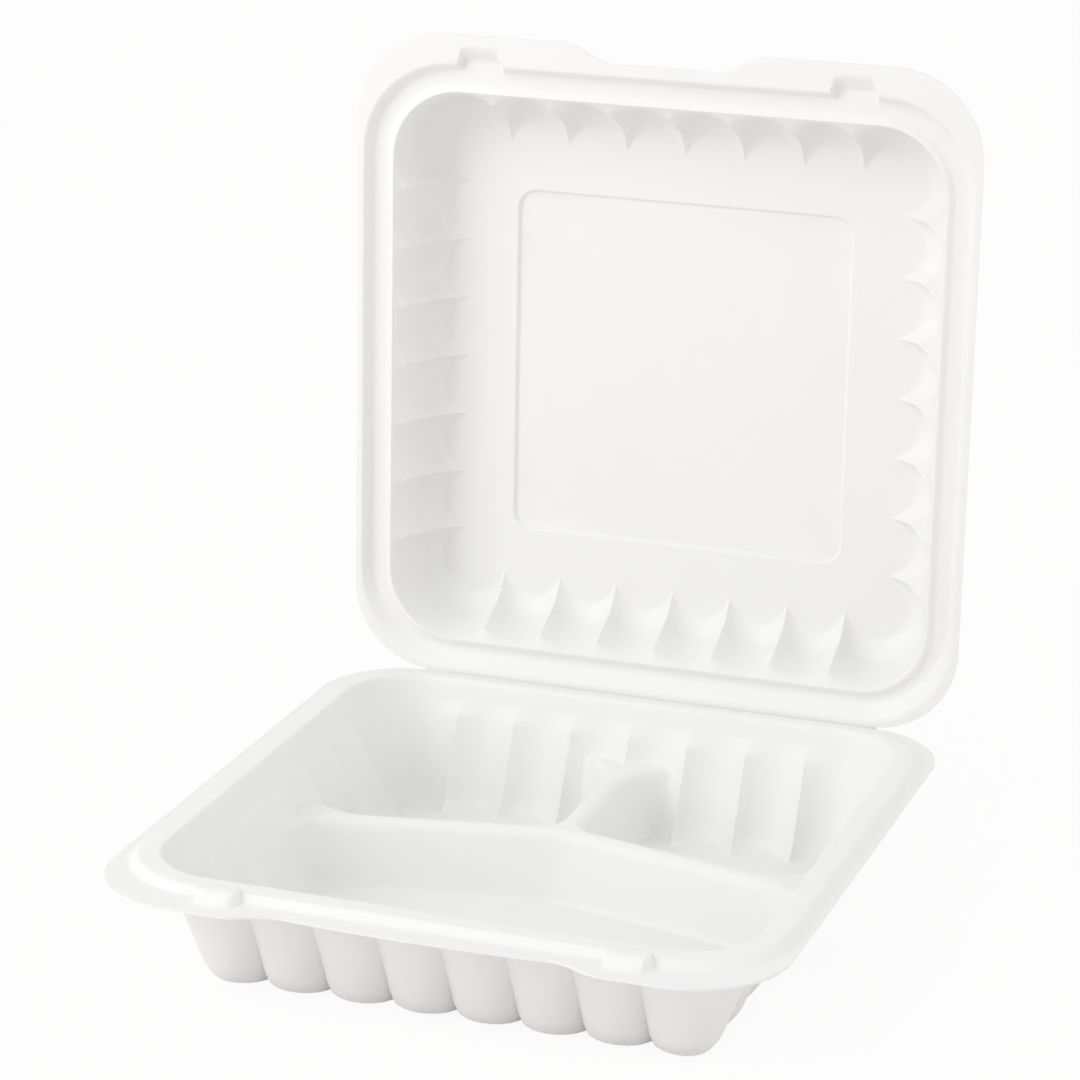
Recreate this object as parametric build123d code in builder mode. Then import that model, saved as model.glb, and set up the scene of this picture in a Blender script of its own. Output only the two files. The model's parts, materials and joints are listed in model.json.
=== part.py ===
"""Hinged take-away container with three compartments, moulded as one thin sheet.

A fluted tray with a raised rim bead and a Y-shaped hollow divider carries a fluted lid on a
living hinge.  The origin is on the underside of the tray, below the middle of its opening.
+X is to the right, -Y is the front with the two snap locks, +Y is the side of the fold.
The lid stands open, and each cup is drawn from its shut face, where tray and lid meet.
"""

import os
from math import asin, cos, degrees, radians, tan

from build123d import *

# Sheet, fold and fit
wall = 0.8
shut_gap = 0.3
snap_clearance = 0.4
lid_open_angle = 91.4
overrun = 2.0

# Opening, the same in tray and lid
opening_width = 187.2
opening_corner_radius = 22.8

# Flutes of the walls, the same in tray and lid
flute_count = 6
flute_fade = 0.05

# Rim bead of the tray, in steps outward from the opening
bead_height = 2.4
bead_land = 7.1
bead_fold_land = 4.0
bead_slope_run = 2.3
bead_corner_radius = 30.0

# Flange around the bead
flange_lip = 2.5
fold_lip = 2.0
ear_lip = 10.3
fold_corner_radius = 28.0
front_corner_radius = 29.5

# Front notch between the two ears of each flange
notch_corner_radius = 9.0
tray_ear_width = 49.5
tray_notch_run = 12.0
tray_notch_depth = 5.4
tray_thumb_bulge = 1.8
lid_ear_width = 73.5
lid_notch_run = 13.0
lid_notch_depth = 6.2
lid_thumb_bulge = 0.4

# Tray cup, in depth below the shut face
tray_depth = 38.5
tray_band_draft = 17.0
tray_arch_draft = 23.0
tray_draft = 20.3
tray_band_depth = 5.5
tray_rib_start_depth = 10.0
tray_knee_depth = 32.0
tray_floor_round = 4.6
tray_flute_start = 3.5
tray_flute_knee = 5.6
tray_flute_floor = 6.6

# Divider ridges of the tray
ridge_depth = 16.0
ridge_top_width = 6.4
ridge_draft = 15.0
ridge_crest_radius = 3.8
junction_offset = 23.0
arm_sweep = 12.2
junction_round = 9.0
ridge_end_round = 22.0
pocket_overhang = 1.6

# Rim channel of the lid, and the crest between channel and cup
channel_clearance = 0.4
channel_depth = 3.8
channel_side_run = 2.2
channel_fold_setback = 0.2
channel_fold_lip = 1.1
crest_land = 0.8
crest_run = 2.0
crest_clearance = 0.4

# Lid cup, in depth behind the shut face
lid_depth = 26.8
lid_band_draft = 8.0
lid_arch_draft = 14.0
lid_draft = 12.0
lid_band_depth = 4.0
lid_rib_start_depth = 6.5
lid_knee_depth = 20.5
lid_top_round = 6.0
lid_flute_start = 3.2
lid_flute_knee = 5.6
lid_flute_top = 8.4

# Raised panel of the lid
panel_side_margin = 35.6
panel_end_margin = 34.6
panel_corner_radius = 6.5
panel_height = 1.2
panel_run = 0.8

# Snap locks on the front ears
lock_side_margin = 42.5
lock_ear_margin = 9.5
lock_width = 15.0
lock_length = 9.4
lock_height = 3.4
lock_taper_run = 1.0
lock_corner_radius = 1.6

# Places that follow from the sizes above
opening_half_width = opening_width / 2
row_end = opening_half_width - opening_corner_radius
flute_pitch = 2 * row_end / (flute_count + 1)
bead_crest_half_width = opening_half_width + bead_land
bead_fold_crest_reach = opening_half_width + bead_fold_land
bead_foot_half_width = bead_crest_half_width + bead_slope_run
flange_half_width = bead_foot_half_width + flange_lip
fold_reach = bead_foot_half_width + fold_lip
ear_reach = bead_foot_half_width + ear_lip
crest_depth = bead_height + crest_clearance
crest_half_width = opening_half_width + crest_land
channel_inner_half_width = crest_half_width + crest_run
channel_mouth_half_width = bead_foot_half_width + channel_clearance
channel_bed_half_width = channel_mouth_half_width - channel_side_run
channel_mouth_reach = fold_reach - channel_fold_lip
channel_bed_reach = bead_fold_crest_reach - channel_fold_setback
channel_corner_radius = bead_corner_radius + channel_clearance
panel_width = opening_width - 2 * panel_side_margin
panel_length = opening_width - 2 * panel_end_margin
lock_place = flange_half_width - lock_side_margin
tray_arch_height = tray_rib_start_depth - tray_band_depth
tray_flute_height = tray_knee_depth - tray_rib_start_depth
tray_band_inset = (tray_band_depth + bead_height) * tan(radians(tray_band_draft))
tray_rib_start_inset = tray_band_inset + tray_arch_height * tan(radians(tray_arch_draft))
tray_knee_inset = tray_rib_start_inset + tray_flute_height * tan(radians(tray_draft))
ridge_inset = tray_rib_start_inset + (ridge_depth - tray_rib_start_depth) * tan(radians(tray_draft))
lid_arch_height = lid_rib_start_depth - lid_band_depth
lid_flute_height = lid_knee_depth - lid_rib_start_depth
lid_band_inset = (lid_band_depth - crest_depth) * tan(radians(lid_band_draft))
lid_rib_start_inset = lid_band_inset + lid_arch_height * tan(radians(lid_arch_draft))
lid_knee_inset = lid_rib_start_inset + lid_flute_height * tan(radians(lid_draft))
tray_plane = Plane.XY.offset(tray_depth)
fold_plane = Plane(origin=(0, fold_reach, tray_depth)).rotated((-lid_open_angle, 0, 0))
lid_plane = Plane(fold_plane.location * Location((0, -fold_reach, 0)))


def turned(x, y, turn):
    """A point of the front side, carried round to the side that is turned by that angle."""
    return Vector(x, y).rotate(Axis.Z, turn)


def wall_outline(plane, inset, flute_depth, skin):
    """One closed outline of a cup's wall: a row of flutes on each side and a round at each corner.

    Each flute is an arc that bows outward between two cusps, and a half flute at each end of the
    row runs into the corner's round.  A skin keeps all the centres and makes the arcs larger.
    """
    side = opening_half_width - inset + skin
    arc_radius = (flute_pitch**2 / 4 + flute_depth**2) / (2 * flute_depth) + skin
    arc_centre = arc_radius - side
    half_angle = degrees(asin(flute_pitch / 2 / arc_radius))
    with BuildSketch(plane) as outline:
        with BuildLine():
            for turn in (0, 90, 180, 270):
                CenterArc(turned(-row_end, arc_centre, turn), arc_radius, turn - 90, half_angle)
                for number in range(1, flute_count + 1):
                    place = turned(number * flute_pitch - row_end, arc_centre, turn)
                    CenterArc(place, arc_radius, turn - 90 - half_angle, 2 * half_angle)
                CenterArc(turned(row_end, arc_centre, turn), arc_radius, turn - 90 - half_angle, half_angle)
                CenterArc(turned(row_end, -row_end, turn), side - row_end, turn - 90, 90)
        make_face()
    return outline.sketch


def cup_outlines(plane, into, levels, skin):
    """Outlines of a cup from its mouth to its floor, for its inner face or, with a skin, its outer one.

    Each level is a depth, an inset from the opening and a flute depth.
    """
    return [wall_outline(plane.offset(into * depth), inset, flute, skin) for depth, inset, flute in levels]


def tray_levels(mouth, floor):
    """Levels of the tray's wall between a mouth and a floor, in depth below the shut face."""
    band_slope = tan(radians(tray_band_draft))
    return (
        (mouth, (mouth + bead_height) * band_slope, flute_fade),
        (tray_band_depth, tray_band_inset, flute_fade),
        (tray_rib_start_depth, tray_rib_start_inset, tray_flute_start),
        (tray_knee_depth, tray_knee_inset, tray_flute_knee),
        (floor, tray_knee_inset + tray_floor_round, tray_flute_floor),
    )


def lid_levels(mouth, top):
    """Levels of the lid's wall between a mouth and its top, in depth behind the shut face."""
    band_slope = tan(radians(lid_band_draft))
    return (
        (mouth, (mouth - crest_depth) * band_slope, flute_fade),
        (lid_band_depth, lid_band_inset, flute_fade),
        (lid_rib_start_depth, lid_rib_start_inset, lid_flute_start),
        (lid_knee_depth, lid_knee_inset, lid_flute_knee),
        (top, lid_knee_inset + lid_top_round, lid_flute_top),
    )


def rim_outlines(plane, levels, skin):
    """Rounded outlines of a form that runs around the opening.

    Each level is a height over the plane, a half width, a reach on the side of the fold and a corner
    radius.  A skin lifts and widens the whole form by the same amount.
    """
    outlines = []
    for height, half_width, fold_side, corner_radius in levels:
        with BuildSketch(plane.offset(height + skin)) as outline:
            with Locations((0, (fold_side - half_width) / 2)):
                RectangleRounded(
                    2 * half_width + 2 * skin, half_width + fold_side + 2 * skin, corner_radius + skin
                )
        outlines.append(outline.sketch)
    return outlines


def flange_outline(plane, ear_width, notch_run, notch_depth, thumb_bulge):
    """The flange's outline: a straight fold, round corners and two front ears beside a shallow notch."""
    side = flange_half_width
    fold = fold_reach - shut_gap / 2
    ear = -ear_reach
    notch = ear + notch_depth
    notch_end = side - ear_width
    notch_half_width = notch_end - notch_run
    notch_reach = notch_end + notch_corner_radius
    with BuildSketch(plane) as outline:
        with BuildLine():
            ThreePointArc((-notch_half_width, notch), (0, notch - thumb_bulge), (notch_half_width, notch))
            Polyline((notch_half_width, notch), (notch_end, ear), (side, ear), (side, fold))
            Line((side, fold), (-side, fold))
            Polyline((-side, fold), (-side, ear), (-notch_end, ear), (-notch_half_width, notch))
        make_face()
        fillet(outline.vertices().group_by(Axis.Y)[-1], fold_corner_radius)
        front = outline.vertices().group_by(Axis.Y)[0].sort_by(Axis.X)
        fillet((front[0], front[-1]), front_corner_radius)
        front = outline.vertices().filter_by_position(Axis.Y, ear - notch_depth, 0)
        fillet(front.filter_by_position(Axis.X, -notch_reach, notch_reach), notch_corner_radius)
    return outline.sketch


def pocket_plan(plane, corners, junction_radius, end_radius):
    """Plan of one compartment between the ridges, rounded at the junction and where ridges meet the wall."""
    junction = (0, junction_offset)
    with BuildSketch(plane) as plan:
        with BuildLine():
            Polyline(*corners, close=True)
        make_face()
        fillet(plan.vertices().sort_by_distance(junction)[1:3], end_radius)
        fillet(plan.vertices().sort_by_distance(junction)[0], junction_radius)
    return plan.sketch


def divider_form(skin):
    """The Y of ridges between the compartments, or with a skin the hollow under them.

    It is a block as high as the ridges, less a drafted pocket for each compartment.
    """
    top_depth = ridge_depth + skin
    floor_depth = tray_depth + overrun
    half_ridge = ridge_top_width / 2 - skin
    reach = opening_half_width - ridge_inset + pocket_overhang + skin
    sweep = tan(radians(arm_sweep))
    arm_half = half_ridge / cos(radians(arm_sweep))
    arm_front = junction_offset - arm_half
    arm_back = junction_offset + arm_half
    front_pocket = (
        (0, arm_front),
        (reach, arm_front - reach * sweep),
        (reach, -reach),
        (-reach, -reach),
        (-reach, arm_front - reach * sweep),
    )
    right_pocket = (
        (half_ridge, arm_back - half_ridge * sweep),
        (reach, arm_back - reach * sweep),
        (reach, reach),
        (half_ridge, reach),
    )
    left_pocket = [(-x, y) for x, y in right_pocket]
    top_plane = tray_plane.offset(-top_depth)
    with BuildPart() as form:
        with BuildSketch(top_plane):
            Rectangle(opening_width, opening_width)
        extrude(amount=top_depth - floor_depth)
        for corners in (front_pocket, left_pocket, right_pocket):
            plan = pocket_plan(top_plane, corners, junction_round + skin, ridge_end_round + skin)
            extrude(plan, amount=top_depth - floor_depth, taper=ridge_draft, mode=Mode.SUBTRACT)
        crest = form.faces().sort_by(Axis.Z)[-1]
        fillet([edge for wire in crest.inner_wires() for edge in wire.edges()], ridge_crest_radius - skin)
    return form.part


def lock_form(plane, into, foot, height, grow):
    """Both snap locks as tapered blocks that stand on the front ears, or the spaces that take them."""
    middle = lock_ear_margin - ear_reach
    width = lock_width + 2 * grow
    length = lock_length + 2 * grow
    radius = lock_corner_radius + grow
    with BuildPart() as form:
        for place in (-lock_place, lock_place):
            with BuildSketch(plane.offset(into * foot)) as low:
                with Locations((place, middle)):
                    RectangleRounded(width, length, radius)
            with BuildSketch(plane.offset(into * height)) as high:
                with Locations((place, middle)):
                    RectangleRounded(width - 2 * lock_taper_run, length - 2 * lock_taper_run, radius)
            loft((low.sketch, high.sketch), ruled=True)
    return form.part


# Inside of the tray: one fluted cup with the ridges of the divider standing in it
with BuildPart() as tray_cavity:
    loft(cup_outlines(tray_plane, -1, tray_levels(-bead_height - overrun, tray_depth - wall), 0), ruled=True)
    add(divider_form(0), mode=Mode.SUBTRACT)

# Outside of the tray's cup
with BuildPart() as tray_cup:
    loft(cup_outlines(tray_plane, -1, tray_levels(-bead_height, tray_depth), wall), ruled=True)

# Levels of the rim bead, from its foot on the flange to its crest
bead_levels = (
    (-shut_gap / 2, bead_foot_half_width, bead_foot_half_width, bead_corner_radius),
    (bead_height, bead_crest_half_width, bead_fold_crest_reach, bead_corner_radius),
)

# Space under the rim bead, around the cup
with BuildPart() as bead_hollow:
    loft(rim_outlines(tray_plane, bead_levels, -wall), ruled=True)
    add(tray_cup.part, mode=Mode.SUBTRACT)

# Tray: flange, rim bead, fluted cup with the hollow divider, and the two lock studs
with BuildPart() as base_tray:
    extrude(
        flange_outline(
            tray_plane.offset(-shut_gap / 2),
            tray_ear_width,
            tray_notch_run,
            tray_notch_depth,
            tray_thumb_bulge,
        ),
        amount=-wall,
    )
    loft(rim_outlines(tray_plane, bead_levels, 0), ruled=True)
    add(tray_cup.part)
    add(bead_hollow.part, mode=Mode.SUBTRACT)
    add(lock_form(tray_plane, 1, -shut_gap / 2, lock_height, 0))
    add(lock_form(tray_plane, 1, -shut_gap / 2 - wall, lock_height - wall, -wall), mode=Mode.SUBTRACT)
    add(tray_cavity.part, mode=Mode.SUBTRACT)
    add(divider_form(wall), mode=Mode.SUBTRACT)
base_tray.part.label = "base_tray"

# Inside of the lid's cup, with the panel sunk a little deeper than the rest of the top
with BuildPart() as lid_cavity:
    loft(cup_outlines(lid_plane, 1, lid_levels(crest_depth - overrun, lid_depth - wall), 0), ruled=True)
    with BuildSketch(lid_plane.offset(lid_depth - wall)) as panel_edge:
        RectangleRounded(panel_width, panel_length, panel_corner_radius)
    with BuildSketch(lid_plane.offset(lid_depth - wall + panel_height)) as panel_face:
        RectangleRounded(panel_width - 2 * panel_run, panel_length - 2 * panel_run, panel_corner_radius)
    loft((panel_edge.sketch, panel_face.sketch), ruled=True)

# Levels of the lid's rim channel from its mouth to its bed, and of the crest that stands up from the bed
channel_levels = (
    (shut_gap / 2, channel_mouth_half_width, channel_mouth_reach, channel_corner_radius),
    (channel_depth, channel_bed_half_width, channel_bed_reach, channel_corner_radius),
)
crest_levels = (
    (channel_depth, channel_inner_half_width, channel_inner_half_width, opening_corner_radius + crest_run),
    (crest_depth, crest_half_width, crest_half_width, opening_corner_radius),
)

# Channel in the lid's rim that takes the tray's bead, with the crest between channel and cup
with BuildPart() as lid_channel:
    loft(rim_outlines(lid_plane, channel_levels, 0), ruled=True)
    loft(rim_outlines(lid_plane, crest_levels, 0), ruled=True, mode=Mode.SUBTRACT)

# Lid: flange, rim channel, fluted cup with the raised panel, and the two lock sockets
with BuildPart() as lid:
    extrude(
        flange_outline(
            lid_plane.offset(shut_gap / 2),
            lid_ear_width,
            lid_notch_run,
            lid_notch_depth,
            lid_thumb_bulge,
        ),
        amount=wall,
    )
    loft(rim_outlines(lid_plane, channel_levels, wall), ruled=True)
    loft(cup_outlines(lid_plane, 1, lid_levels(crest_depth, lid_depth), wall), ruled=True)
    with BuildSketch(lid_plane.offset(lid_depth)) as panel_edge:
        RectangleRounded(panel_width + 2 * wall, panel_length + 2 * wall, panel_corner_radius + wall)
    with BuildSketch(lid_plane.offset(lid_depth + panel_height)) as panel_face:
        RectangleRounded(
            panel_width + 2 * wall - 2 * panel_run,
            panel_length + 2 * wall - 2 * panel_run,
            panel_corner_radius + wall,
        )
    loft((panel_edge.sketch, panel_face.sketch), ruled=True)
    add(lock_form(lid_plane, 1, shut_gap / 2, lock_height + snap_clearance + wall, snap_clearance + wall))
    add(
        lock_form(lid_plane, 1, shut_gap / 2, lock_height + snap_clearance, snap_clearance),
        mode=Mode.SUBTRACT,
    )
    add(lid_channel.part, mode=Mode.SUBTRACT)
    add(lid_cavity.part, mode=Mode.SUBTRACT)
lid.part.label = "lid"

os.makedirs("parts", exist_ok=True)
export_step(base_tray.part, "parts/base_tray.step")
export_step(lid.part, "parts/lid.step")
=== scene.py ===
"""Looks of the hinged take-away container: two fluted sheets, the fold between them, their plastic and the stage.

Each half of the container is one thin sheet.  Its shape is worked out on a grid of stations around the
opening and rows from the flange's edge to the middle, and the sheet is given its thickness at the end.
"""

import json
import math

import bpy
import numpy as np
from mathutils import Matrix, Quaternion, Vector

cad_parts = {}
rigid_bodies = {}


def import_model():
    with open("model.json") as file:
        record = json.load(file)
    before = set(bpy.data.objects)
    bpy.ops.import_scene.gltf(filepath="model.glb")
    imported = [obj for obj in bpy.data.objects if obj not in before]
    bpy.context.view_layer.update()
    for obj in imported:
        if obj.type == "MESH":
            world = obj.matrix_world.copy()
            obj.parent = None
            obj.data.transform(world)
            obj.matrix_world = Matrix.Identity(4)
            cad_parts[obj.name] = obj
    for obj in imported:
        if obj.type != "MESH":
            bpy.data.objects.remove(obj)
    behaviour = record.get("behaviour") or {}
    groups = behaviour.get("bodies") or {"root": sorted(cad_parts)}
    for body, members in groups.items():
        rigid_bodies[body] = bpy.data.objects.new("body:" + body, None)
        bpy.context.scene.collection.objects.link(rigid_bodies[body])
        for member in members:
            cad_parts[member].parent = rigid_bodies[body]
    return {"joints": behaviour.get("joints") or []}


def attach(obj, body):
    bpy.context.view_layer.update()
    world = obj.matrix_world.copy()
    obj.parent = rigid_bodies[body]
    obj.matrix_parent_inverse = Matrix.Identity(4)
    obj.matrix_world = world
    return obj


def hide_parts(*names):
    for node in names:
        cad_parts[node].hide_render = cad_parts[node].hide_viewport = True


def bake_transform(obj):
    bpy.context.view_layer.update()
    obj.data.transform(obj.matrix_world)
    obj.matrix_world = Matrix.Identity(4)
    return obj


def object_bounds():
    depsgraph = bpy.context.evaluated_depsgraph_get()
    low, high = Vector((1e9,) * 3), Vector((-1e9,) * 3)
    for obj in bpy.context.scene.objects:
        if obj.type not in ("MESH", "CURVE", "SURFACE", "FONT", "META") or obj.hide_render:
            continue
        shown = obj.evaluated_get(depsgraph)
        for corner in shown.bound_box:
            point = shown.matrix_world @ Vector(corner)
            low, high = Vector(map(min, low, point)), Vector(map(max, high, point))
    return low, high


bl_info = {
    "name": "Take-away container",
    "version": (1, 0, 0),
    "blender": (4, 5, 0),
    "location": "3D View > Sidebar > Container",
    "description": "Builds the fluted tray, lid and fold of a hinged take-away container on its stage",
    "category": "Add Mesh",
}

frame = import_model()
cad_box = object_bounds()
hinge = frame["joints"][0]
fold_place = hinge["pos_m"]
lid_open_angle = math.radians(-hinge["range_deg"][0])
tray_body, lid_body = hinge["parent"], hinge["child"]

millimetre = 0.001
white = (1, 1, 1, 1)
quarter_turns = np.array([[[1, 0], [0, 1]], [[0, -1], [1, 0]], [[-1, 0], [0, -1]], [[0, 1], [-1, 0]]], float)

# Fineness of the grids.  A loop has its reach on the sides and then at the corners.
halvings = 40
arc_steps = 6
lock_end_steps = 3
tray_rim_rows, lid_rim_rows = (15, 9, 2), (14, 9, 8)
tray_wall_step, lid_wall_step = 1.7 * millimetre, 1.6 * millimetre
tray_loop, lid_loop = (-2.2 * millimetre, 0.4 * millimetre), (1.0 * millimetre, 1.0 * millimetre)
loop_rise = 0.43
apron_rows = 4
ridge_near = np.linspace(-8.0, 8.0, 21) * millimetre
ridge_far = np.linspace(9.2, 23.6, 10) * millimetre
floor_rows, floor_samples, columns_nearby = 49, 600, 6
climb_weight, bend_length = 1.6, 14 * millimetre
approach_rows, panel_rows = 4, 9
panel_shares = np.array([0.1, 0.25, 0.5, 0.75, 0.93])
fold_stations, fold_steps = 60, 11


def length(name, description, value):
    """A size that is given in millimetres here and kept in metres."""
    return bpy.props.FloatProperty(
        name=name, description=description, default=value * millimetre, unit="LENGTH", subtype="DISTANCE", precision=5
    )


def angle(name, description, value):
    """An angle that is given in degrees here and kept in radians."""
    return bpy.props.FloatProperty(
        name=name, description=description, default=math.radians(value), unit="ROTATION", subtype="ANGLE"
    )


def number(name, description, value):
    """A plain number."""
    return bpy.props.FloatProperty(name=name, description=description, default=value, precision=4)


def count(name, description, value):
    """A whole number."""
    return bpy.props.IntProperty(name=name, description=description, default=value, min=1)


def colour(name, description, value):
    """A colour in linear light."""
    return bpy.props.FloatVectorProperty(name=name, description=description, default=value, size=3, subtype="COLOR")


def place(name, description, value):
    """A point in metres."""
    return bpy.props.FloatVectorProperty(name=name, description=description, default=value, size=3, subtype="XYZ")


class ContainerSheet(bpy.types.PropertyGroup):
    """Sizes that the tray and the lid share."""

    wall: length("Wall", "Thickness of the sheet", 0.8)
    shut_gap: length("Shut gap", "Space between the two flanges when shut", 0.3)
    opening: length("Opening", "Width of the square opening", 187.2)
    opening_round: length("Opening round", "Corner radius of the opening", 22.8)
    flutes: count("Flutes", "Whole flutes on each side", 6)
    flute_steps: count("Flute steps", "Stations across one flute", 8)
    corner_steps: count("Corner steps", "Stations across one corner", 14)
    crease: angle("Crease", "Edges that turn by more than this stay sharp", 32.0)
    flange: length("Flange", "Width across the flange", 211.0)
    ear: length("Ear", "Reach of the front ears from the middle", 113.3)
    fold_round: length("Fold round", "Corner radius of the flange beside the fold", 28.0)
    front_round: length("Front round", "Corner radius of the flange at the front", 29.5)
    edge_soft: length("Edge softness", "How far the foot and the shoulder of a rim step are drawn out", 0.35)
    lock_spacing: length("Lock spacing", "Distance between the two snap locks", 126.0)
    lock_reach: length("Lock reach", "Distance of the locks from the middle", 103.8)
    lock_width: length("Lock width", "Width of a lock stud at its foot", 15.0)
    lock_length: length("Lock length", "Length of a lock stud at its foot", 9.4)
    lock_height: length("Lock height", "Height of a lock stud over the shut face", 3.4)
    lock_taper: length("Lock taper", "Run of a lock's sloped sides", 1.0)
    lock_ramp: length("Lock ramp", "Run of a lock's sloped front", 4.0)
    lock_round: length("Lock round", "Corner radius of a lock", 1.6)
    lock_step: length("Lock step", "Distance between the stations beside a lock's ends", 0.5)
    snap_room: length("Snap room", "Space around a stud in its socket", 0.4)


class ContainerTray(bpy.types.PropertyGroup):
    """Sizes of the tray."""

    notch_half: length("Notch half width", "Half width of the front notch at its bottom", 44.0)
    notch_run: length("Notch run", "Length of the notch's slanted ends", 12.0)
    notch_depth: length("Notch depth", "Depth of the front notch", 5.4)
    thumb_bulge: length("Thumb bulge", "How far the middle of the notch stands out again", 1.8)
    bead_height: length("Bead height", "Height of the rim bead over the shut face", 2.4)
    bead_foot: length("Bead foot", "Reach of the bead's foot from the middle", 103.0)
    bead_crest: length("Bead crest", "Reach of the bead's flat crest from the middle", 100.7)
    bead_fold_crest: length("Bead crest at the fold", "Reach of the crest on the side of the fold", 97.6)
    bead_round: length("Bead round", "Corner radius of the bead", 30.0)
    lip: length("Lip", "Flat run of the crest before it rolls into the wall", 1.6)
    lip_round: length("Lip round", "Radius where the crest rolls into the wall", 1.1)
    depth: length("Depth", "Depth of the tray below the shut face", 38.5)
    band_depth: length("Band depth", "Depth at which the plain band under the rim ends", 5.5)
    band_draft: angle("Band draft", "Slope of the plain band", 17.0)
    arch_depth: length("Arch depth", "Depth at which the flutes' arched tops end", 10.0)
    arch_draft: angle("Arch draft", "Slope of the flutes' arched tops", 23.0)
    draft: angle("Draft", "Slope of the fluted wall", 20.3)
    foot_height: length("Foot height", "Height of the sloped foot between wall and floor", 4.1)
    foot_run: length("Foot run", "Run of the sloped foot between wall and floor", 3.3)
    floor_lip: length("Floor lip", "Flat run of the floor beside the foot", 1.6)
    arch_round: length("Arch round", "Radius above and below the flutes' arched tops", 9.0)
    knee_round: length("Knee round", "Radius between the wall and its foot", 12.0)
    floor_round: length("Floor round", "Radius between the foot and the floor", 3.0)
    flute_start: length("Flute start", "Depth of a flute below its arched top", 3.5)
    flute_end: length("Flute end", "Depth of a flute at the floor", 6.6)
    ridge_depth: length("Ridge depth", "Depth of the divider's crest below the shut face", 16.0)
    ridge_width: length("Ridge width", "Width of a divider ridge at its crest", 6.4)
    ridge_draft: angle("Ridge draft", "Slope of the ridges' sides", 15.0)
    ridge_round: length("Crest round", "Radius along the ridges' crests", 3.8)
    ridge_foot: length("Ridge foot", "Height of the fillet where the ridges meet the cup", 2.8)
    junction: length("Junction", "Place of the divider's junction behind the middle", 23.0)
    arm_sweep: angle("Arm sweep", "How far the two arms sweep to the front", 12.2)
    junction_round: length("Junction round", "Radius between the ridges at the junction", 9.0)
    bend_round: length("Bend round", "Radius of the divider's front face where its arms meet", 28.0)
    end_round: length("End round", "Radius where a ridge runs into the wall", 22.0)
    pocket_reach: length("Pocket reach", "Reach of the compartments' plan at the crest's level", 88.7)


class ContainerLid(bpy.types.PropertyGroup):
    """Sizes of the lid."""

    notch_half: length("Notch half width", "Half width of the front notch at its bottom", 19.0)
    notch_run: length("Notch run", "Length of the notch's slanted ends", 13.0)
    notch_depth: length("Notch depth", "Depth of the front notch", 6.2)
    thumb_bulge: length("Thumb bulge", "How far the middle of the notch stands out again", 0.4)
    channel_mouth: length("Channel mouth", "Reach of the rim channel's mouth from the middle", 103.4)
    channel_fold_mouth: length("Channel mouth at the fold", "Reach of the mouth on the side of the fold", 103.9)
    channel_bed: length("Channel bed", "Reach of the rim channel's bed from the middle", 101.2)
    channel_fold_bed: length("Channel bed at the fold", "Reach of the bed on the side of the fold", 97.4)
    channel_round: length("Channel round", "Corner radius of the rim channel", 30.4)
    channel_depth: length("Channel depth", "Depth of the rim channel behind the shut face", 3.8)
    crest_foot: length("Crest foot", "Reach of the crest's foot from the middle", 96.4)
    crest_edge: length("Crest edge", "Reach of the crest's outer edge from the middle", 94.4)
    crest_depth: length("Crest depth", "Depth of the crest behind the shut face", 2.8)
    crest_lip: length("Crest lip", "Flat run of the crest before it rolls into the wall", 0.4)
    lip_round: length("Lip round", "Radius where the crest rolls into the wall", 0.3)
    depth: length("Depth", "Depth of the lid behind the shut face", 26.8)
    band_depth: length("Band depth", "Depth at which the plain band behind the rim ends", 4.0)
    band_draft: angle("Band draft", "Slope of the plain band", 8.0)
    arch_depth: length("Arch depth", "Depth at which the flutes' arched ends finish", 6.5)
    arch_draft: angle("Arch draft", "Slope of the flutes' arched ends", 14.0)
    draft: angle("Draft", "Slope of the fluted wall", 12.0)
    foot_height: length("Foot height", "Height of the sloped edge between wall and top", 4.4)
    foot_run: length("Foot run", "Run of the sloped edge between wall and top", 6.0)
    floor_lip: length("Top lip", "Flat run of the top beside its sloped edge", 2.1)
    arch_round: length("Arch round", "Radius above and below the flutes' arched ends", 5.0)
    knee_round: length("Knee round", "Radius between the wall and the sloped edge", 8.0)
    floor_round: length("Top round", "Radius between the sloped edge and the top", 5.0)
    flute_start: length("Flute start", "Depth of a flute below its arched end", 3.2)
    flute_end: length("Flute end", "Depth of a flute at the top", 8.4)
    panel_width: length("Panel width", "Width of the raised panel", 116.0)
    panel_length: length("Panel length", "Length of the raised panel", 118.0)
    panel_round: length("Panel round", "Corner radius of the raised panel", 6.5)
    panel_height: length("Panel height", "Height of the raised panel", 1.2)
    panel_run: length("Panel run", "Run of the panel's sloped edge", 0.8)


class ContainerFold(bpy.types.PropertyGroup):
    """Sizes of the thin web in the fold."""

    web: length("Web", "Thickness of the web", 0.3)
    flat: length("Flat", "Run of the web on each side of the fold", 0.9)
    dip: length("Dip", "How far the web lies behind the flanges", 0.35)
    overrun: length("Overrun", "How far the web runs into the fold's round corners", 2.0)
    blend_reach: length("Blend reach", "Distance from the fold over which the web bends", 0.7)


class ContainerFinish(bpy.types.PropertyGroup):
    """Finish of the white plastic."""

    tint: colour("Plastic", "Colour of the plastic", (0.866, 0.865, 0.862))
    cloud: colour("Cloud", "Colour of the faint clouds in the plastic", (0.847, 0.844, 0.839))
    cloud_size: length("Cloud size", "Size of the faint clouds", 45.0)
    cloud_detail: number("Cloud detail", "Finer levels in the faint clouds", 3.0)
    roughness: number("Roughness", "Roughness of the matte surface", 0.5)
    unevenness: number("Unevenness", "How far the clouds and the grain change the roughness", 0.09)
    grain_size: length("Grain size", "Size of the surface's fine grain", 0.45)
    grain_detail: number("Grain detail", "Finer levels in the surface's grain", 2.0)
    grain_depth: length("Grain depth", "Depth of the surface's fine grain", 0.012)
    grain_strength: number("Grain strength", "Share of the fine grain that shows", 0.25)
    refraction: number("Refraction", "Refractive index of the plastic", 1.49)


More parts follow.
